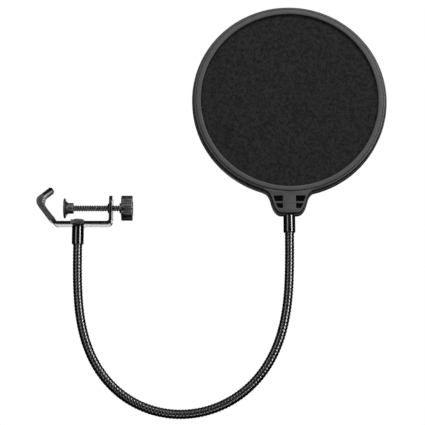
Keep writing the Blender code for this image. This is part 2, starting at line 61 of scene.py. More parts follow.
# Clamp
STRIP_WIDTH = 15.0 * MM
STRIP_THICK = 2.5 * MM
STRIP_EDGE = 0.35 * MM
HOOK_TIP = (-1.57 * MM, 15.23 * MM)
HOOK_TIP_RADIUS = 16.5 * MM
HOOK_VERTEX = (-13.68 * MM, 5.61 * MM)
BASE_LEFT = 1.13 * MM
BASE_LEVEL = -12.45 * MM
UPRIGHT_X = 44.25 * MM
UPRIGHT_TOP = 10.0 * MM
BEND_RADIUS = 3.0 * MM
COLLAR_LENGTH = 1.3 * MM
COLLAR_RADIUS = 3.9 * MM
SCREW_RADIUS = 2.45 * MM
THREAD_PITCH = 1.85 * MM
THREAD_DEPTH = 0.62 * MM
SCREW_NECK_RADIUS = 1.5 * MM
SCREW_BALL_RADIUS = 2.3 * MM
FOOT_HUB_LENGTH = 4.3 * MM
FOOT_HUB_RADIUS = 4.3 * MM
FOOT_LIP = 1.4 * MM
FOOT_CAVITY_DEPTH = 2.1 * MM
KNOB_FLUTES = 9
KNOB_FLUTE_DEPTH = 1.0 * MM
KNOB_HUB_RADIUS = 3.9 * MM
KNOB_HUB_LENGTH = 1.5 * MM
SADDLE_THICK = 0.9 * MM
PIVOT_HEAD_RADIUS = 4.4 * MM
PIVOT_HEAD_HEIGHT = 1.2 * MM
PIVOT_SHANK_RADIUS = 2.3 * MM

# Gooseneck
FERRULE_RADIUS = 4.65 * MM
FERRULE_SOCKET = 7.0 * MM
NECK_RADIUS = 3.65 * MM
NECK_LENGTH = 361.4 * MM
NECK_LINKS = 12
NECK_BEND_SPREAD = 0.713
NECK_BEND_EVEN = 0.212
NECK_BEND_LEAN = 0.074
NECK_PITCH = 2.65 * MM
STUD_RADIUS = 1.9 * MM

# Hoop
HOOP_RADIUS = 77.5 * MM
HOOP_OPENING = 70.5 * MM
HOOP_HALF_DEPTH = 5.7 * MM
HOOP_PLATE = 1.9 * MM
HOOP_LIP_FRONT = -1.7 * MM
FRONT_RADIUS = 76.0 * MM
FRONT_BAND_RADIUS = 74.2 * MM
SKIRT_THICK = 1.0 * MM
SKIRT_END = 1.0 * MM
TAB_BOTTOM = -93.1 * MM
TAB_FLAT = 6.0 * MM
TAB_SHOULDER = (14.4 * MM, -82.8 * MM)
TAB_ROOT = (20.5 * MM, -74.6 * MM)
TAB_BORDER = 1.5 * MM
TAB_WALL = 1.2 * MM
TAB_BLOCK_WIDTH = 9.6 * MM
POCKETS = (
    ((5.1, -78.2), (5.1, -82.75), (11.2, -82.75), (12.7, -78.2)),
    ((5.1, -84.3), (5.1, -88.2), (8.8, -88.2), (11.0, -84.3)),
)

# Places, read from the CAD nodes
HOOP_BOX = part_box("hoop_rear")
HEAD_X = (HOOP_BOX[0][0] + HOOP_BOX[1][0]) / 2
HEAD_Z = HOOP_BOX[1][2] - HOOP_RADIUS
FOOT_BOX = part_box("pressure_foot")
SCREW_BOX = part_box("clamp_screw")
KNOB_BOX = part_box("clamp_knob")
SADDLE_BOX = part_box("pivot_saddle")
PIVOT_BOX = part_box("pivot_screw")
LOWER_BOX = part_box("lower_ferrule")
UPPER_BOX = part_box("upper_ferrule")
PIVOT_X = (LOWER_BOX[0][0] + LOWER_BOX[1][0]) / 2
UPPER_X = (UPPER_BOX[0][0] + UPPER_BOX[1][0]) / 2


# ---------------------------------------------------------------- materials


class Look:
    """A principled material and the short calls that build its nodes."""

    def __init__(self, name, colour, roughness, metallic=0.0, specular=0.5):
        self.material = bpy.data.materials.new(name)
        self.material.use_nodes = True
        self.tree = self.material.node_tree
        self.shader = self.tree.nodes["Principled BSDF"]
        self.shader.inputs["Base Color"].default_value = (*colour, 1.0)
        self.shader.inputs["Roughness"].default_value = roughness
        self.shader.inputs["Metallic"].default_value = metallic
        self.shader.inputs["Specular IOR Level"].default_value = specular
        self.colour = colour
        self.roughness = roughness
        self.place = self.tree.nodes.new("ShaderNodeTexCoord").outputs["Object"]
        self.bump_chain = None

    def node(self, kind, **values):
        made = self.tree.nodes.new(kind)
        for key, value in values.items():
            setattr(made, key, value)
        return made

    def link(self, output, socket):
        self.tree.links.new(output, socket)

    def noise(self, scale, detail=3.0, stretch=(1.0, 1.0, 1.0)):
        """Noise from 0 to 1, with scale features a metre, drawn out along an axis by a small stretch."""
        mapping = self.node("ShaderNodeMapping")
        mapping.inputs["Scale"].default_value = stretch
        self.link(self.place, mapping.inputs["Vector"])
        pattern = self.node("ShaderNodeTexNoise")
        pattern.inputs["Scale"].default_value = scale
        pattern.inputs["Detail"].default_value = detail
        self.link(mapping.outputs["Vector"], pattern.inputs["Vector"])
        return pattern.outputs["Fac"]

    def spread(self, value, low, high, from_low=0.3, from_high=0.7):
        """The value's middle range spread from low to high."""
        spread = self.node("ShaderNodeMapRange")
        spread.inputs["From Min"].default_value = from_low
        spread.inputs["From Max"].default_value = from_high
        spread.inputs["To Min"].default_value = low
        spread.inputs["To Max"].default_value = high
        self.link(value, spread.inputs["Value"])
        return spread.outputs["Result"]

    def vary_colour(self, value, darker, lighter):
        """The base colour goes from darker to lighter times itself as value goes from 0 to 1."""
        mix = self.node("ShaderNodeMix", data_type="RGBA")
        sockets = {socket.identifier: socket for socket in (*mix.inputs, *mix.outputs)}
        sockets["A_Color"].default_value = (*[c * darker for c in self.colour], 1.0)
        sockets["B_Color"].default_value = (*[c * lighter for c in self.colour], 1.0)
        self.link(value, sockets["Factor_Float"])
        self.link(sockets["Result_Color"], self.shader.inputs["Base Color"])

    def vary_roughness(self, value, amount):
        low, high = self.roughness - amount, self.roughness + amount
        self.link(self.spread(value, low, high), self.shader.inputs["Roughness"])

    def bump(self, value, depth, strength=1.0):
        """Adds a bump of the given depth in metres over the bumps already there."""
        bump = self.node("ShaderNodeBump")
        bump.inputs["Strength"].default_value = strength
        bump.inputs["Distance"].default_value = depth
        self.link(value, bump.inputs["Height"])
        if self.bump_chain:
            self.link(self.bump_chain, bump.inputs["Normal"])
        self.bump_chain = bump.outputs["Normal"]
        self.link(self.bump_chain, self.shader.inputs["Normal"])


def moulded(name, colour, roughness, specular):
    """Moulded plastic with a fine spark-eroded grain and faint flow clouds."""
    look = Look(name, colour, roughness, specular=specular)
    look.vary_colour(look.spread(look.noise(260, 5.0), 0.0, 1.0), 0.86, 1.14)
    look.vary_roughness(look.noise(420), 0.07)
    look.bump(look.noise(2600, 2.0), 0.035 * MM, 0.7)
    look.bump(look.noise(700, 2.0), 0.03 * MM, 0.35)
    return look.material


def coated_steel():
    """Satin powder coat with a slight orange peel."""
    look = Look("black_steel", (0.003, 0.003, 0.0032), 0.20, specular=0.75)
    look.vary_colour(look.spread(look.noise(350, 4.0), 0.0, 1.0), 0.8, 1.3)
    look.vary_roughness(look.noise(600), 0.06)
    look.bump(look.noise(1400, 2.0), 0.03 * MM, 0.5)
    return look.material


def screw_steel():
    """Black oxide, oily and a little uneven."""
    look = Look("screw_steel", (0.15, 0.15, 0.155), 0.28, 1.0)
    look.vary_colour(look.spread(look.noise(500, 4.0), 0.0, 1.0), 0.7, 1.5)
    look.vary_roughness(look.noise(900), 0.08)
    look.bump(look.noise(2400, 2.0), 0.015 * MM, 0.5)
    return look.material


def neck_wire():
    """Semi-gloss black lacquer over the wound wires."""
    look = Look("neck_wire", (0.003, 0.003, 0.0032), 0.22, specular=0.9)
    look.vary_colour(look.spread(look.noise(420, 4.0), 0.0, 1.0), 0.75, 1.5)
    look.vary_roughness(look.noise(800), 0.07)
    look.bump(look.noise(1900, 2.0), 0.02 * MM, 0.4)
    return look.material


def gloss_sleeve():
    """Glossy black sleeve with faint drawing lines along it."""
    look = Look("gloss_sleeve", (0.0020, 0.0020, 0.0022), 0.15, specular=0.8)
    look.vary_roughness(look.noise(900, 3.0, (1.0, 1.0, 0.05)), 0.03)
    look.bump(look.noise(1500, 2.0, (1.0, 1.0, 0.04)), 0.006 * MM, 0.4)
    return look.material


def screen_fabric():
    """Fine black knit: rows of loops, with slubs and clouds in the yarn."""
    look = Look("screen_fabric", (0.0033, 0.0033, 0.0035), 0.85, specular=0.12)
    clouds = look.noise(420, 4.0)
    slubs = look.noise(1100, 2.0, (1.0, 1.0, 0.5))
    both = look.node("ShaderNodeMath", operation="ADD")
    look.link(look.spread(clouds, 0.0, 0.5, 0.4, 0.6), both.inputs[0])
    look.link(look.spread(slubs, 0.0, 0.5, 0.4, 0.6), both.inputs[1])
    look.vary_colour(both.outputs["Value"], 0.0, 2.6)
    for direction in ("X", "Z"):
        rows = look.node("ShaderNodeTexWave", wave_type="BANDS", bands_direction=direction)
        rows.inputs["Scale"].default_value = 620 if direction == "X" else 520
        rows.inputs["Distortion"].default_value = 1.2
        rows.inputs["Detail"].default_value = 1.0
        look.link(look.place, rows.inputs["Vector"])
        look.bump(rows.outputs["Fac"], 0.06 * MM, 0.5)
    return look.material


def brass():
    """Bright turned brass."""
    look = Look("brass", (0.60, 0.42, 0.16), 0.30, 1.0)
    look.vary_roughness(look.noise(700), 0.08)
    look.bump(look.noise(1800, 2.0), 0.01 * MM, 0.5)
    return look.material


LOOKS = {
    "black_steel": coated_steel(),
    "screw_steel": screw_steel(),
    "neck_wire": neck_wire(),
    "gloss_sleeve": gloss_sleeve(),
    "hoop_plastic": moulded("hoop_plastic", (0.016, 0.016, 0.0165), 0.56, 0.35),
    "grip_plastic": moulded("grip_plastic", (0.011, 0.011, 0.0115), 0.36, 0.7),
    "knob_plastic": moulded("knob_plastic", (0.007, 0.007, 0.0073), 0.34, 1.0),
    "screen_fabric": screen_fabric(),
    "brass": brass(),
}


# ---------------------------------------------------------------- meshes


def piece(name, mesh, slot, body, stands_for=()):
    """A visible piece: it rides on a body, stands for CAD nodes and takes its look from a slot."""
    obj = bpy.data.objects.new(name, mesh)
    bpy.context.scene.collection.objects.link(obj)
    mesh.materials.clear()
    mesh.materials.append(LOOKS[slot])
    mesh.shade_smooth()
    mesh.set_sharp_from_angle(angle=SMOOTH_BELOW)
    if body:
        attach(obj, body)
    if stands_for:
        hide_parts(*stands_for)
    return obj


def grid_mesh(name, rows, closed_rows=False, caps=False):
    """A mesh over a grid of points: each row is a closed loop, and caps close the first and last."""
    grid = np.asarray(rows, float)
    count, width = grid.shape[:2]
    faces = []
    for i in range(count if closed_rows else count - 1):
        low, high = i * width, (i + 1) % count * width
        faces += [(low + j, low + (j + 1) % width, high + (j + 1) % width, high + j) for j in range(width)]
    if caps:
        faces.append(tuple(reversed(range(width))))
        faces.append(tuple(range((count - 1) * width, count * width)))
    mesh = bpy.data.meshes.new(name)
    mesh.from_pydata(grid.reshape(-1, 3).tolist(), [], faces)
    return mesh


def welded(mesh):
    """The mesh with its double points merged and its faces turned outwards."""
    edit = bmesh.new()
    edit.from_mesh(mesh)
    bmesh.ops.remove_doubles(edit, verts=edit.verts, dist=1e-7)
    bmesh.ops.recalc_face_normals(edit, faces=edit.faces)
    edit.to_mesh(mesh)
    edit.free()
    return mesh


def rounded(corners, radius, steps=3):
    """A closed outline with its corners rounded, each by no more than its sides allow."""
    corners = [Vector(corner) for corner in corners]
    outline = []
    for i, corner in enumerate(corners):
        before = corners[i - 1] - corner
        after = corners[(i + 1) % len(corners)] - corner
        half = max(before.angle(after) / 2, 0.05)
        reach = min(radius / math.tan(half), before.length * 0.45, after.length * 0.45)
        start = corner + before.normalized() * reach
        end = corner + after.normalized() * reach
        for k in range(steps + 1):
            t = k / steps
            outline.append(start * (1 - t) ** 2 + corner * 2 * t * (1 - t) + end * t**2)
    return outline


def lathe(name, section, steps=96, place=None, edge=0.15 * MM):
    """A mesh turned about Z from a closed section of (radius, height) corners, with its edges eased."""
    outline = rounded(section, edge)
    outline = [(max(p.x, 0.0), p.y) for p in outline]
    rows = []
    for k in range(steps):
        angle = math.tau * k / steps
        rows.append([(r * math.cos(angle), r * math.sin(angle), h) for r, h in outline])
    mesh = welded(grid_mesh(name, rows, closed_rows=True))
    if place:
        mesh.transform(place)
    return mesh


def plate(name, outlines, low, high, edge=0.2 * MM):
    """A flat plate in the plane XZ from Y = low to high.
    The first outline is its rim and the rest are holes."""
    curve = bpy.data.curves.new(name, "CURVE")
    curve.dimensions = "2D"
    curve.fill_mode = "BOTH"
    curve.bevel_depth = edge
    curve.bevel_resolution = 2
    curve.offset = -edge
    curve.extrude = (high - low) / 2 - edge
    for outline in outlines:
        spline = curve.splines.new("POLY")
        spline.points.add(len(outline) - 1)
        for point, (x, z) in zip(spline.points, outline):
            point.co = (x, z, 0, 1)
        spline.use_cyclic_u = True
    obj = bpy.data.objects.new(name, curve)
    mesh = bpy.data.meshes.new_from_object(obj)
    bpy.data.objects.remove(obj)
    mesh.transform(Matrix.Translation((0, (low + high) / 2, 0)) @ Matrix.Rotation(math.pi / 2, 4, "X"))
    return welded(mesh)


def joined(name, meshes):
    """One mesh from several."""
    edit = bmesh.new()
    for mesh in meshes:
        edit.from_mesh(mesh)
        bpy.data.meshes.remove(mesh)
    mesh = bpy.data.meshes.new(name)
    edit.to_mesh(mesh)
    edit.free()
    return mesh


def cut(mesh, tools):
    """The mesh with the tools' shapes cut out of it."""
    obj = bpy.data.objects.new("cut", mesh)
    bpy.context.scene.collection.objects.link(obj)
    helpers = []
    for tool in tools:
        helper = bpy.data.objects.new("tool", tool)
        bpy.context.scene.collection.objects.link(helper)
        helpers.append(helper)
        step = obj.modifiers.new("cut", "BOOLEAN")
        step.operation = "DIFFERENCE"
        step.solver = "EXACT"
        step.object = helper
    graph = bpy.context.evaluated_depsgraph_get()
    graph.update()
    result = bpy.data.meshes.new_from_object(obj.evaluated_get(graph))
    for helper in [obj, *helpers]:
        bpy.data.objects.remove(helper)
    return result


def filleted(corners, radius, steps=10):
    """The open path through the corners, each inner corner rounded to the radius."""
    corners = [Vector(corner) for corner in corners]
    path = [corners[0]]
    for before, corner, after in zip(corners, corners[1:], corners[2:]):
        into = (corner - before).normalized()
        out = (after - corner).normalized()
        half_turn = into.angle(out) / 2
        centre = corner + (out - into).normalized() * radius / math.cos(half_turn)
        start = (corner - into * radius * math.tan(half_turn) - centre).normalized()
        end = (corner + out * radius * math.tan(half_turn) - centre).normalized()
        path += [centre + start.slerp(end, i / steps) * radius for i in range(steps + 1)]
    return path + [corners[-1]]


ALONG_X = Matrix.Rotation(math.pi / 2, 4, "Y")
FACING_FRONT = Matrix.Translation((HEAD_X, 0, HEAD_Z)) @ Matrix.Rotation(math.pi / 2, 4, "X")


# ---------------------------------------------------------------- clamp


DRILL_REACH = 3 * MM
RECESS_ARM = 2.3 * MM
RECESS_HALF_WIDTH = 0.55 * MM
RECESS_DEPTH = 0.8 * MM


def strip_stations():
    """Points down the middle of the clamp's strip, with the strip's half width at each."""
    corners = [
        HOOK_TIP,
        HOOK_VERTEX,
        (BASE_LEFT, BASE_LEVEL),
        (UPRIGHT_X, BASE_LEVEL),
        (UPRIGHT_X, UPRIGHT_TOP),
    ]
    path = filleted(corners, BEND_RADIUS)
    tip = rounded_end(path[0], path[1], HOOK_TIP_RADIUS)
    top = rounded_end(path[-1], path[-2], STRIP_WIDTH / 2)
    middle = [(point, STRIP_WIDTH / 2) for point in path[1:-1]]
    return tip + middle + list(reversed(top))


def rounded_end(end, inward, radius):
    """Stations over the strip's end, from its outermost point in, with half widths on an arc."""
    half = STRIP_WIDTH / 2
    into = (inward - end).normalized()
    last = math.acos(min(half / radius, 1.0))
    stations = []
    for k in range(17):
        angle = math.pi / 2 + (last - math.pi / 2) * k / 16
        run = radius * (1 - math.sin(angle))
        stations.append((end + into * run, max(radius * math.cos(angle), STRIP_EDGE * 1.2)))
    return stations


def strip_section(half_width, half_thick):
    """Half the strip's section across its width, round at the corners."""
    corners = [
        (-half_width, -half_thick),
        (half_width, -half_thick),
        (half_width, half_thick),
        (-half_width, half_thick),
    ]
    return rounded(corners, STRIP_EDGE, 3)


def drill(name, radius, height, place):
    """A sharp-edged cylinder about Z that cuts a hole through the strip at a height."""
    low = height - DRILL_REACH
    high = height + DRILL_REACH
    return lathe(name, [(0, low), (0, high), (radius, high), (radius, low)], 48, place, 0.001 * MM)


def bracket_mesh():
    """The bent strip, with holes for the clamp screw and the pivot screw."""
    stations = strip_stations()
    rows = []
    for i, (point, half_width) in enumerate(stations):
        before = stations[max(i - 1, 0)][0]
        after = stations[min(i + 1, len(stations) - 1)][0]
        along = (after - before).normalized()
        across = Vector((-along.y, along.x))
        section = strip_section(half_width, STRIP_THICK / 2)
        rows.append([(point.x + across.x * s.y, s.x, point.y + across.y * s.y) for s in section])
    strip = welded(grid_mesh("clamp_strip", rows, caps=True))
    bore = drill("bore", SCREW_RADIUS + GAP, UPRIGHT_X, ALONG_X)
    hole = drill("hole", PIVOT_SHANK_RADIUS + GAP, BASE_LEVEL, Matrix.Translation((PIVOT_X, 0, 0)))
    return cut(strip, [bore, hole])


def make_bracket():
    """Bent strip with the collar that the clamp screw runs in."""
    inner_face = UPRIGHT_X - STRIP_THICK / 2
    collar = lathe(
        "collar",
        [
            (SCREW_RADIUS + GAP, inner_face - COLLAR_LENGTH),
            (COLLAR_RADIUS - 0.3 * MM, inner_face - COLLAR_LENGTH),
            (COLLAR_RADIUS, inner_face - COLLAR_LENGTH * 0.6),
            (COLLAR_RADIUS + 0.5 * MM, inner_face + 0.1 * MM),
            (SCREW_RADIUS + GAP, inner_face + 0.1 * MM),
        ],
        64,
        ALONG_X,
        0.35 * MM,
    )
    mesh = joined("clamp_bracket_look", [bracket_mesh(), collar])
    piece("bent_strip", mesh, "black_steel", "clamp", ["clamp_bracket"])


def make_grip():
    """Moulded sleeve over the hook, thicker inside its bend where the stand's tube sits."""
    corners = [
        (-7.3, 9.9),
        (-8.05, 8.6),
        (-8.3, 7.2),
        (-8.6, 5.9),
        (-8.55, 4.4),
        (-8.1, 3.0),
        (-7.4, 1.7),
        (-6.2, 0.2),
        (-4.0, -2.8),
        (-1.6, -5.7),
        (0.9, -8.7),
        (1.7, -10.0),
        (1.4, -10.5),
        (-3.1, -10.5),
        (-3.6, -10.1),
        (-7.3, -5.5),
        (-11.5, 0.0),
        (-12.95, 1.8),
        (-13.45, 3.2),
        (-13.4, 5.6),
        (-12.7, 7.3),
        (-11.2, 8.7),
        (-9.2, 10.35),
        (-8.2, 9.2),
    ]
    outline = [(x * MM, z * MM) for x, z in corners]
    half_width = STRIP_WIDTH / 2 + GAP + 0.8 * MM
    rim = [(p.x, p.y) for p in rounded(outline, 0.7 * MM, 3)]
    mesh = plate("jaw_grip_look", [rim], -half_width, half_width, 0.45 * MM)
    piece("hook_grip", mesh, "grip_plastic", "clamp", ["jaw_grip"])


def make_saddle():
    """Moulded washer that wraps the strip over the pivot."""
    half = (SADDLE_BOX[1][1] - SADDLE_BOX[0][1]) / 2
    length = SADDLE_BOX[1][0] - SADDLE_BOX[0][0]
    low, top = SADDLE_BOX[0][2], SADDLE_BOX[1][2]
    inner = half - SADDLE_THICK
    ceiling = top - SADDLE_THICK
    corners = [
        (-half, low),
        (-half, top - 0.5 * MM),
        (-half + 1.6 * MM, top),
        (half - 1.6 * MM, top),
        (half, top - 0.5 * MM),
        (half, low),
        (inner, low),
        (inner, ceiling),
        (-inner, ceiling),
        (-inner, low),
    ]
    rim = [(p.x, p.y) for p in rounded(corners, 0.6 * MM, 3)]
    mesh = plate("saddle_look", [rim], -length / 2, length / 2, 0.25 * MM)
    mesh.transform(Matrix.Translation((PIVOT_X, 0, 0)) @ Matrix.Rotation(math.pi / 2, 4, "Z"))
    piece("pivot_washer", mesh, "grip_plastic", "clamp", ["pivot_saddle"])


def make_pivot_screw():
    """Low head with a cross recess, on a shank down into the sleeve."""
    top, tip = PIVOT_BOX[1][2], PIVOT_BOX[0][2]
    seat = top - PIVOT_HEAD_HEIGHT
    head = PIVOT_HEAD_RADIUS
    section = [
        (0, top),
        (head * 0.55, top - 0.05 * MM),
        (head * 0.86, top - 0.35 * MM),
        (head, seat + 0.35 * MM),
        (head, seat),
        (PIVOT_SHANK_RADIUS, seat),
        (PIVOT_SHANK_RADIUS, tip),
        (0, tip),
    ]
    body = lathe("pivot_head", section, 64, Matrix.Translation((PIVOT_X, 0, 0)), 0.2 * MM)
    arm, narrow = RECESS_ARM, RECESS_HALF_WIDTH
    cross = [
        (narrow, narrow),
        (narrow, arm),
        (-narrow, arm),
        (-narrow, narrow),
        (-arm, narrow),
        (-arm, -narrow),
        (-narrow, -narrow),
        (-narrow, -arm),
        (narrow, -arm),
        (narrow, -narrow),
        (arm, -narrow),
        (arm, narrow),
    ]
    recess = plate("recess", [cross], -RECESS_DEPTH, MM, 0.02 * MM)
    recess.transform(Matrix.Translation((PIVOT_X, 0, top)) @ Matrix.Rotation(math.pi / 2, 4, "X"))
    piece("pivot_bolt", cut(body, [recess]), "screw_steel", "neck_01", ["pivot_screw"])


def make_foot():
    """Pressure foot: thin flange, dished behind, on a hub that snaps over the screw's ball."""
    face, hub_end = FOOT_BOX[0][0], FOOT_BOX[1][0]
    radius = (FOOT_BOX[1][2] - FOOT_BOX[0][2]) / 2
    hub_start = hub_end - FOOT_HUB_LENGTH
    cavity = SCREW_BALL_RADIUS + GAP
    mouth = SCREW_NECK_RADIUS + GAP
    section = [
        (0, face + 0.35 * MM),
        (radius * 0.55, face + 0.25 * MM),
        (radius * 0.8, face),
        (radius, face + 0.15 * MM),
        (radius, face + 1.1 * MM),
        (radius - 0.9 * MM, face + 1.6 * MM),
        (FOOT_HUB_RADIUS + 1.1 * MM, face + 2.2 * MM),
        (FOOT_HUB_RADIUS, hub_start + 0.1 * MM),
        (FOOT_HUB_RADIUS, hub_end - 0.9 * MM),
        (FOOT_HUB_RADIUS - 0.25 * MM, hub_end),
        (mouth, hub_end),
        (mouth, hub_end - FOOT_LIP),
        (cavity, hub_end - FOOT_LIP),
        (cavity, face + FOOT_CAVITY_DEPTH),
        (0, face + FOOT_CAVITY_DEPTH),
    ]
    mesh = lathe("foot_look", section, 72, ALONG_X, 0.25 * MM)
    piece("foot_pad", mesh, "grip_plastic", "foot", ["pressure_foot"])


def helical(frame_at, start, end, pitch, profile, columns):
    """Rows of points that follow a helix from start to end, so that the profile makes an even thread.
    frame_at gives a point on the middle line and two directions across it, at a length along it.
    The profile is (part of a turn, radius) pairs for one turn."""
    turns = math.ceil((end - start) / pitch) + 1
    rows = []
    for turn in range(-1, turns):
        for phase, radius in profile:
            row = []
            for j in range(columns + 1):
                run = start + (turn + phase + j / columns) * pitch
                run = min(max(run, start), end)
                point, across, up = frame_at(run)
                angle = math.tau * j / columns
                row.append(point + (across * math.cos(angle) + up * math.sin(angle)) * radius)
            rows.append(row)
    return rows


def open_grid(name, rows):
    """A mesh over an open grid of points, without the faces that have shrunk to nothing."""
    grid = np.asarray([[tuple(p) for p in row] for row in rows], float)
    count, width = grid.shape[:2]
    faces = [
        (i * width + j, i * width + j + 1, (i + 1) * width + j + 1, (i + 1) * width + j)
        for i in range(count - 1)
        for j in range(width - 1)
    ]
    mesh = bpy.data.meshes.new(name)
    mesh.from_pydata(grid.reshape(-1, 3).tolist(), [], faces)
    edit = bmesh.new()
    edit.from_mesh(mesh)
    bmesh.ops.remove_doubles(edit, verts=edit.verts, dist=2e-6)
    bmesh.ops.dissolve_degenerate(edit, edges=edit.edges, dist=1e-6)
    edit.to_mesh(mesh)
    edit.free()
    return mesh


def make_screw():
    """Clamp screw: ball tip and neck inside the foot, then a rolled thread up into the knob."""
    tip, end = SCREW_BOX[0][0], SCREW_BOX[1][0]
    neck_end = FOOT_BOX[1][0] + GAP
    ball_end = FOOT_BOX[1][0] - FOOT_LIP - GAP
    root = SCREW_RADIUS - THREAD_DEPTH
    ball = [
        (0, tip),
        (SCREW_BALL_RADIUS * 0.6, tip),
        (SCREW_BALL_RADIUS, tip + 1.0 * MM),
        (SCREW_BALL_RADIUS, ball_end - 0.6 * MM),
        (SCREW_NECK_RADIUS, ball_end),
        (SCREW_NECK_RADIUS, neck_end),
        (root, neck_end + 0.2 * MM),
        (root, neck_end + MM),
        (0, neck_end + MM),
    ]
    profile = [(0.0, root), (0.10, root), (0.42, SCREW_RADIUS), (0.58, SCREW_RADIUS), (0.90, root)]

    def straight(run):
        return Vector((run, 0, 0)), Vector((0, 1, 0)), Vector((0, 0, 1))

    rows = helical(straight, neck_end + 0.2 * MM, end, THREAD_PITCH, profile, 40)
    thread = welded(open_grid("thread", rows))
    mesh = joined("screw_look", [lathe("ball", ball, 48, ALONG_X, 0.2 * MM), thread])
    piece("threaded_rod", mesh, "screw_steel", "screw", ["clamp_screw"])


def make_knob():
    """Fluted knob with eased edges, a hub in front and a shallow dish behind."""
    radius = (KNOB_BOX[1][2] - KNOB_BOX[0][2]) / 2
    start, end = KNOB_BOX[0][0] + KNOB_HUB_LENGTH, KNOB_BOX[1][0]
    outline = []
    count = KNOB_FLUTES * 16
    for i in range(count):
        angle = math.tau * i / count
        dip = KNOB_FLUTE_DEPTH * (0.5 - 0.5 * math.cos(KNOB_FLUTES * angle)) ** 2
        outline.append(((radius - dip) * math.cos(angle), (radius - dip) * math.sin(angle)))
    body = plate("knob_body", [outline], start, end, 0.55 * MM)
    body.transform(Matrix.Rotation(-math.pi / 2, 4, "Z"))
    hub = lathe(
        "knob_hub",
        [
            (SCREW_RADIUS, KNOB_BOX[0][0]),
            (KNOB_HUB_RADIUS, KNOB_BOX[0][0]),
            (KNOB_HUB_RADIUS + 0.3 * MM, start + 0.2 * MM),
            (SCREW_RADIUS, start + 0.2 * MM),
        ],
        64,
        ALONG_X,
        0.3 * MM,
    )
    dish = lathe(
        "dish",
        [(0, end - 0.5 * MM), (5.6 * MM, end - 0.5 * MM), (6.6 * MM, end + MM), (0, end + MM)],
        96,
        ALONG_X,
        0.3 * MM,
    )
    mesh = joined("knob_look", [cut(body, [dish]), hub])
    piece("fluted_knob", mesh, "knob_plastic", "screw", ["clamp_knob"])


# ---------------------------------------------------------------- gooseneck


def neck_heading(t):
    """Direction of the neck at t, from 0 at the clamp to 1 at the hoop: an angle from +X in XZ."""
    whole = math.tau * t
    bend = math.pi * (t - 0.5)
    bend -= NECK_BEND_SPREAD / 2 * math.sin(whole)
    bend -= NECK_BEND_EVEN / 4 * math.sin(2 * whole)
    bend += NECK_BEND_LEAN / 2 * (1 - math.cos(whole))
    return bend


ROUTE_STEPS = 2400
NECK_START = Vector((PIVOT_X, 0, LOWER_BOX[0][2]))


def neck_route():
    """Points evenly spaced down the middle of the neck."""
    step = NECK_LENGTH / ROUTE_STEPS
    point = NECK_START.copy()
    route = [point.copy()]
    for i in range(ROUTE_STEPS):
        angle = neck_heading((i + 0.5) / ROUTE_STEPS)
        point += Vector((math.cos(angle), 0, math.sin(angle))) * step
        route.append(point.copy())
    return route


ROUTE = neck_route()


def neck_frame(run):
    """Point on the neck at a length along it, and the two directions across it."""
    t = min(max(run / NECK_LENGTH, 0.0), 1.0)
    angle = neck_heading(t)
    along = Vector((math.cos(angle), 0, math.sin(angle)))
    at = t * ROUTE_STEPS
    index = min(int(at), ROUTE_STEPS - 1)
    point = ROUTE[index].lerp(ROUTE[index + 1], at - index)
    point += along * (run - t * NECK_LENGTH)
    return point, Vector((0, 1, 0)), along.cross(Vector((0, 1, 0)))


# One turn: a round wire, flattened where it is drawn, and the wedge wire that fills the groove beside it
WIRE_PROFILE = [
    (0.00, NECK_RADIUS - 0.38 * MM),
    (0.07, NECK_RADIUS - 0.11 * MM),
    (0.18, NECK_RADIUS - 0.03 * MM),
    (0.32, NECK_RADIUS),
    (0.46, NECK_RADIUS),
    (0.60, NECK_RADIUS - 0.03 * MM),
    (0.71, NECK_RADIUS - 0.11 * MM),
    (0.78, NECK_RADIUS - 0.38 * MM),
    (0.84, NECK_RADIUS - 0.17 * MM),
    (0.94, NECK_RADIUS - 0.17 * MM),
]
NECK_COLUMNS = 28


def neck_piece(index):
    """The stretch of the wound tube around one joint, from mid-link to mid-link."""
    link = NECK_LENGTH / NECK_LINKS
    joint = index * link
    first = index == 1
    last = index == NECK_LINKS - 1
    stub = FERRULE_SOCKET - GAP
    low = -stub if first else joint - link / 2
    high = NECK_LENGTH + stub if last else joint + link / 2
    low_turn = round(low / NECK_PITCH)
    high_turn = round(high / NECK_PITCH)
    rows = []
    for turn in range(low_turn, high_turn + 1):
        for phase, radius in WIRE_PROFILE if turn < high_turn else WIRE_PROFILE[:1]:
            row = []
            for j in range(NECK_COLUMNS + 1):
                point, across, up = neck_frame((turn + phase + j / NECK_COLUMNS) * NECK_PITCH)
                angle = math.tau * j / NECK_COLUMNS
                row.append(point + (across * math.cos(angle) + up * math.sin(angle)) * radius)
            rows.append(row)
    mesh = open_grid(f"wound_tube_{index:02d}", rows)
    nodes = [f"gooseneck_{index:02d}"]
    if last:
        nodes.append(f"gooseneck_{index + 1:02d}")
    obj = piece(f"wound_neck_{index:02d}", mesh, "neck_wire", None, nodes)
    centre, _, _ = neck_frame(joint)
    angle = neck_heading(joint / NECK_LENGTH)
    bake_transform(obj)


def make_lower_ferrule():
    """Glossy swaged sleeve, threaded above for the pivot screw and open below for the neck."""
    bottom, top = LOWER_BOX[0][2], LOWER_BOX[1][2]
    socket = NECK_RADIUS + GAP / 2
    bore = PIVOT_SHANK_RADIUS + GAP / 2
    section = [
        (0, bottom + FERRULE_SOCKET + MM),
        (bore, bottom + FERRULE_SOCKET + MM),
        (bore, top),
        (FERRULE_RADIUS, top),
        (FERRULE_RADIUS, bottom),
        (socket, bottom),
        (socket, bottom + FERRULE_SOCKET),
        (0, bottom + FERRULE_SOCKET),
    ]
    mesh = lathe("lower_sleeve_look", section, 96, Matrix.Translation((PIVOT_X, 0, 0)), 0.3 * MM)
    piece("lower_sleeve", mesh, "gloss_sleeve", "neck_01", ["lower_ferrule"])


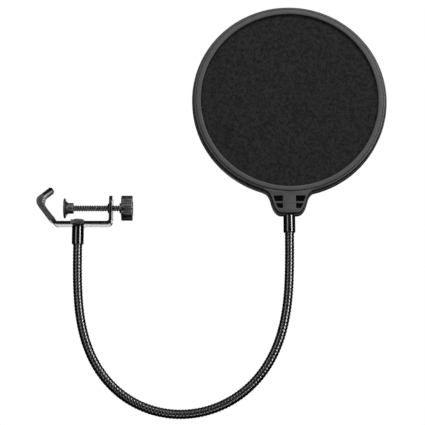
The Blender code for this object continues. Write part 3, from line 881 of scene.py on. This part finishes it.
def make_upper_ferrule():
    """Glossy swaged sleeve with a stud up into the hoop's tab."""
    bottom = UPPER_BOX[0][2]
    shoulder = HEAD_Z + TAB_BOTTOM - GAP
    tip = UPPER_BOX[1][2]
    socket = NECK_RADIUS + GAP / 2
    section = [
        (0, tip),
        (STUD_RADIUS, tip),
        (STUD_RADIUS, shoulder),
        (FERRULE_RADIUS, shoulder),
        (FERRULE_RADIUS, bottom),
        (socket, bottom),
        (socket, bottom + FERRULE_SOCKET),
        (0, bottom + FERRULE_SOCKET),
    ]
    mesh = lathe("upper_sleeve_look", section, 96, Matrix.Translation((UPPER_X, 0, 0)), 0.3 * MM)
    piece("upper_sleeve", mesh, "gloss_sleeve", "neck_12", ["upper_ferrule"])


# ---------------------------------------------------------------- hoop


def tab_half():
    """Right half of the tab's outline below the hoop, from the rim to the middle of its bottom."""
    root = Vector((*TAB_ROOT, 0))
    shoulder = Vector((*TAB_SHOULDER, 0))
    foot = Vector((TAB_FLAT, TAB_BOTTOM, 0))
    down = Vector((-0.25, -0.97, 0))
    inward = Vector((-1, 0, 0))
    along_rim = Vector((root.y, -root.x, 0)).normalized()
    upper = interpolate_bezier(root, root + along_rim * 4 * MM, shoulder - down * 3.5 * MM, shoulder, 16)
    lower = interpolate_bezier(shoulder, shoulder + down * 6 * MM, foot - inward * 4.5 * MM, foot, 20)
    return [(point.x, point.y) for point in upper + lower[1:]]


def tab_outline(shrink, arc_radius):
    """The tab's whole outline, moved in by shrink.
    An arc of arc_radius about the hoop's centre closes it."""
    half = tab_half()
    moved = []
    for i, (x, z) in enumerate(half):
        before = Vector(half[max(i - 1, 0)])
        after = Vector(half[min(i + 1, len(half) - 1)])
        along = (after - before).normalized()
        inner = Vector((x + along.y * shrink, z - along.x * shrink))
        if inner.length > arc_radius + 0.1 * MM:
            moved.append((inner.x, inner.y))
    sweep = math.atan2(moved[0][0], -moved[0][1])
    arc = []
    for k in range(25):
        angle = -sweep + 2 * sweep * k / 24
        arc.append((arc_radius * math.sin(angle), -arc_radius * math.cos(angle)))
    mirrored = [(-x, z) for x, z in reversed(moved)]
    return [(UPPER_X + x, HEAD_Z + z) for x, z in moved + mirrored + arc]


def windows():
    """Outlines of the four windows in the tab's front plate."""
    found = []
    for corners in POCKETS:
        for side in (-1, 1):
            placed = [(UPPER_X + side * x * MM, HEAD_Z + z * MM) for x, z in corners]
            found.append([(p.x, p.y) for p in rounded(placed, 0.45 * MM, 3)])
    return found


def ring(name, section, edge=0.3 * MM):
    """A ring about the hoop's axis from a closed section of (radius, y) corners."""
    return lathe(name, [(radius, -y) for radius, y in section], 256, FACING_FRONT, edge)


def make_front():
    """Front ring with its crowned band and groove, the tab's front plate and the wall behind it."""
    front = -HOOP_HALF_DEPTH
    back = front + HOOP_PLATE
    section = [
        (HOOP_OPENING, back),
        (HOOP_OPENING, front + 0.35 * MM),
        (HOOP_OPENING + 0.6 * MM, front + 0.05 * MM),
        (HOOP_OPENING + 1.9 * MM, front),
        (FRONT_BAND_RADIUS - 0.5 * MM, front + 0.05 * MM),
        (FRONT_BAND_RADIUS, front + 0.3 * MM),
        (FRONT_BAND_RADIUS + 0.05 * MM, front + 1.0 * MM),
        (FRONT_BAND_RADIUS + 0.5 * MM, front + 1.0 * MM),
        (FRONT_BAND_RADIUS + 0.6 * MM, front + 0.7 * MM),
        (FRONT_RADIUS - 0.25 * MM, front + 1.05 * MM),
        (FRONT_RADIUS, front + 1.35 * MM),
        (FRONT_RADIUS, SKIRT_END),
        (FRONT_RADIUS - SKIRT_THICK, SKIRT_END),
        (FRONT_RADIUS - SKIRT_THICK, back),
    ]
    face = tab_outline(TAB_BORDER, FRONT_BAND_RADIUS + 0.55 * MM)
    tab = plate("front_tab", [face, *windows()], front + 0.6 * MM, back, 0.22 * MM)
    wall_outer = tab_outline(TAB_BORDER, FRONT_RADIUS - SKIRT_THICK / 2)
    wall_inner = tab_outline(TAB_BORDER + SKIRT_THICK, FRONT_RADIUS - SKIRT_THICK / 2 + 0.3 * MM)
    wall = plate("front_tab_wall", [wall_outer, wall_inner], back - 0.3 * MM, SKIRT_END, 0.1 * MM)
    mesh = joined("hoop_front_look", [ring("front_ring", section), tab, wall])
    piece("hoop_front_shell", mesh, "hoop_plastic", "head", ["hoop_front"])


def make_rear():
    """Rear ring, which cups the front one, and the tab's tray with the block that holds the insert."""
    back = HOOP_HALF_DEPTH
    floor = back - HOOP_PLATE
    inner = FRONT_RADIUS + GAP
    section = [
        (inner, HOOP_LIP_FRONT + 0.1 * MM),
        (inner + 0.25 * MM, HOOP_LIP_FRONT),
        (HOOP_RADIUS - 0.35 * MM, HOOP_LIP_FRONT),
        (HOOP_RADIUS, HOOP_LIP_FRONT + 0.45 * MM),
        (HOOP_RADIUS, back - 1.3 * MM),
        (HOOP_RADIUS - 0.5 * MM, back - 0.35 * MM),
        (HOOP_RADIUS - 1.5 * MM, back),
        (HOOP_OPENING + 0.5 * MM, back),
        (HOOP_OPENING, back - 0.4 * MM),
        (HOOP_OPENING, floor),
        (inner, floor),
    ]
    tray_back = back - 0.5 * MM
    outer = tab_outline(0, inner + 0.4 * MM)
    hollow = tab_outline(TAB_WALL, inner + 0.7 * MM)
    tray_wall = plate("tray_wall", [outer, hollow], HOOP_LIP_FRONT, floor + 0.3 * MM, 0.2 * MM)
    tray_floor = plate("tray_floor", [outer], floor, tray_back, 0.35 * MM)
    half_block = TAB_BLOCK_WIDTH / 2
    block_low = HEAD_Z + TAB_BOTTOM + TAB_BORDER + SKIRT_THICK + GAP
    block_high = HEAD_Z - FRONT_RADIUS - 0.8 * MM
    block_outline = [
        (UPPER_X - half_block, block_low),
        (UPPER_X + half_block, block_low),
        (UPPER_X + half_block, block_high),
        (UPPER_X - half_block, block_high),
    ]
    block_front = -HOOP_HALF_DEPTH + HOOP_PLATE + GAP
    block = plate("stud_block", [block_outline], block_front, floor + 0.3 * MM, 0.15 * MM)
    mesh = joined("hoop_rear_look", [ring("rear_ring", section), tray_wall, tray_floor, block])
    piece("hoop_rear_shell", mesh, "hoop_plastic", "head", ["hoop_rear"])


SCREEN_RIPPLE = 0.10 * MM
SCREEN_FEATURE = 22.0 * MM


def screen_mesh(name, y, radius):
    """A stretched knit: a thin disc, flat at its rim and faintly uneven inside it."""
    rings, spokes = 40, 120
    rows = []
    for i in range(1, rings + 1):
        share = i / rings
        row = []
        for j in range(spokes):
            angle = math.tau * j / spokes
            x, z = radius * share * math.cos(angle), radius * share * math.sin(angle)
            spot = Vector((x / SCREEN_FEATURE, y * 300, z / SCREEN_FEATURE))
            slack = SCREEN_RIPPLE * noise.noise(spot) * (1 - share**4)
            row.append((HEAD_X + x, y + slack, HEAD_Z + z))
        rows.append(row)
    mesh = grid_mesh(name, rows)
    edit = bmesh.new()
    edit.from_mesh(mesh)
    edit.verts.ensure_lookup_table()
    middle = edit.verts.new((HEAD_X, y, HEAD_Z))
    edit.verts.ensure_lookup_table()
    for j in range(spokes):
        edit.faces.new((edit.verts[j], middle, edit.verts[(j + 1) % spokes]))
    bmesh.ops.recalc_face_normals(edit, faces=edit.faces)
    edit.to_mesh(mesh)
    edit.free()
    return mesh


def make_screens():
    """Two separate knitted screens, each clamped at its rim between a ring and the spacer."""
    for side, hoop in (("front", "hoop_front_shell"), ("rear", "hoop_rear_shell")):
        low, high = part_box(f"screen_{side}")
        radius = (high[0] - low[0]) / 2
        mesh = screen_mesh(f"knit_{side}_look", (low[1] + high[1]) / 2, radius)
        obj = piece(f"knit_screen_{side}", mesh, "screen_fabric", "head", [f"screen_{side}"])
        shell = obj.modifiers.new("yarn_thickness", "SOLIDIFY")
        shell.thickness = (high[1] - low[1]) * 0.7
        shell.offset = 0.0


# ---------------------------------------------------------------- stage


VIEW_CENTRE = Vector((0.1239, 0.0, -0.00325))
VIEW_DISTANCE = 1.083
VIEW_ELEVATION = math.radians(-11)
VIEW_LENS = 116.9
FLOOR_LEVEL = -0.30
FLOOR_REACH = 6.0


def towards(azimuth, elevation):
    """Unit vector at an angle to the right of the camera's side (-Y) and above the horizon, in degrees."""
    a, e = math.radians(azimuth), math.radians(elevation)
    return Vector((math.sin(a) * math.cos(e), -math.cos(a) * math.cos(e), math.sin(e)))


def make_camera():
    """The photograph's view: from the front and a little below."""
    camera = bpy.data.objects.new("camera", bpy.data.cameras.new("camera"))
    bpy.context.scene.collection.objects.link(camera)
    back = towards(0, math.degrees(VIEW_ELEVATION))
    camera.location = VIEW_CENTRE + back * VIEW_DISTANCE
    camera.rotation_euler = back.to_track_quat("Z", "Y").to_euler()
    camera.data.lens = VIEW_LENS
    camera.data.clip_start = 0.01
    bpy.context.scene.camera = camera


def soft_light(name, width, height, radiance, azimuth, elevation, distance=1.2, diffuse=True, glossy=True):
    """A soft box that faces the object. Radiance is its brightness beside the white background's 1.
    One that isn't diffuse is a card that only shows in glossy surfaces, and one that isn't glossy
    lights without a highlight."""
    data = bpy.data.lights.new(name, "AREA")
    data.shape = "RECTANGLE"
    data.size = width
    data.size_y = height
    data.energy = radiance * math.pi * width * height
    light = bpy.data.objects.new(name, data)
    bpy.context.scene.collection.objects.link(light)
    back = towards(azimuth, elevation)
    light.location = VIEW_CENTRE + back * distance
    light.rotation_euler = back.to_track_quat("Z", "Y").to_euler()
    light.visible_camera = False
    light.visible_diffuse = diffuse
    light.visible_glossy = glossy


def make_floor():
    """Pale floor, which neither lights the object nor shows in its gloss."""
    mesh = bpy.data.meshes.new("floor")
    reach = FLOOR_REACH
    corners = [(-reach, -reach), (reach, -reach), (reach, reach), (-reach, reach)]
    mesh.from_pydata([(x, y, FLOOR_LEVEL) for x, y in corners], [], [(0, 1, 2, 3)])
    look = Look("pale_floor", (0.86, 0.86, 0.86), 0.65, specular=0.2)
    look.vary_colour(look.noise(2.0), 0.99, 1.0)
    mesh.materials.append(look.material)
    floor = bpy.data.objects.new("floor", mesh)
    floor.visible_glossy = False
    floor.visible_diffuse = False
    bpy.context.scene.collection.objects.link(floor)


def make_world():
    """White all round, which glossy black doesn't mirror: the soft boxes alone make its highlights."""
    world = bpy.data.worlds.new("studio")
    world.use_nodes = True
    world.node_tree.nodes["Background"].inputs["Color"].default_value = (1, 1, 1, 1)
    world.cycles_visibility.glossy = False
    bpy.context.scene.world = world
    bpy.context.scene.view_settings.view_transform = "Standard"


def make_lights():
    """Name, width, height, radiance, azimuth and elevation of each, and its distance if it is near."""
    soft_light("key", 0.8, 0.5, 12.5, 6, 50, glossy=False)
    soft_light("key_shine", 0.8, 0.5, 13.0, 6, 50, diffuse=False)
    soft_light("low_fill", 0.7, 0.35, 5.0, 8, -48)
    soft_light("rear_fill", 1.0, 0.8, 7.0, 190, 40, glossy=False)
    soft_light("right_strip", 0.25, 1.6, 23.0, 46, 11, diffuse=False)
    soft_light("left_strip", 0.40, 1.6, 3.4, -37, 11, diffuse=False)
    soft_light("low_card", 0.20, 0.09, 1.9, 199, -13, 0.32, diffuse=False)
    soft_light("right_card", 0.10, 0.30, 3.4, 173, 11, 0.7, diffuse=False)


make_bracket()
make_grip()
make_saddle()
make_pivot_screw()
make_foot()
make_screw()
make_knob()
make_lower_ferrule()
for number in range(1, NECK_LINKS):
    neck_piece(number)
make_upper_ferrule()
make_front()
make_rear()
make_screens()
for node, slot in (("spacer_ring", "hoop_plastic"), ("tab_insert", "brass")):
    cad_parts[node].material_slots[0].material = LOOKS[slot]

make_camera()
make_floor()
make_world()
make_lights()
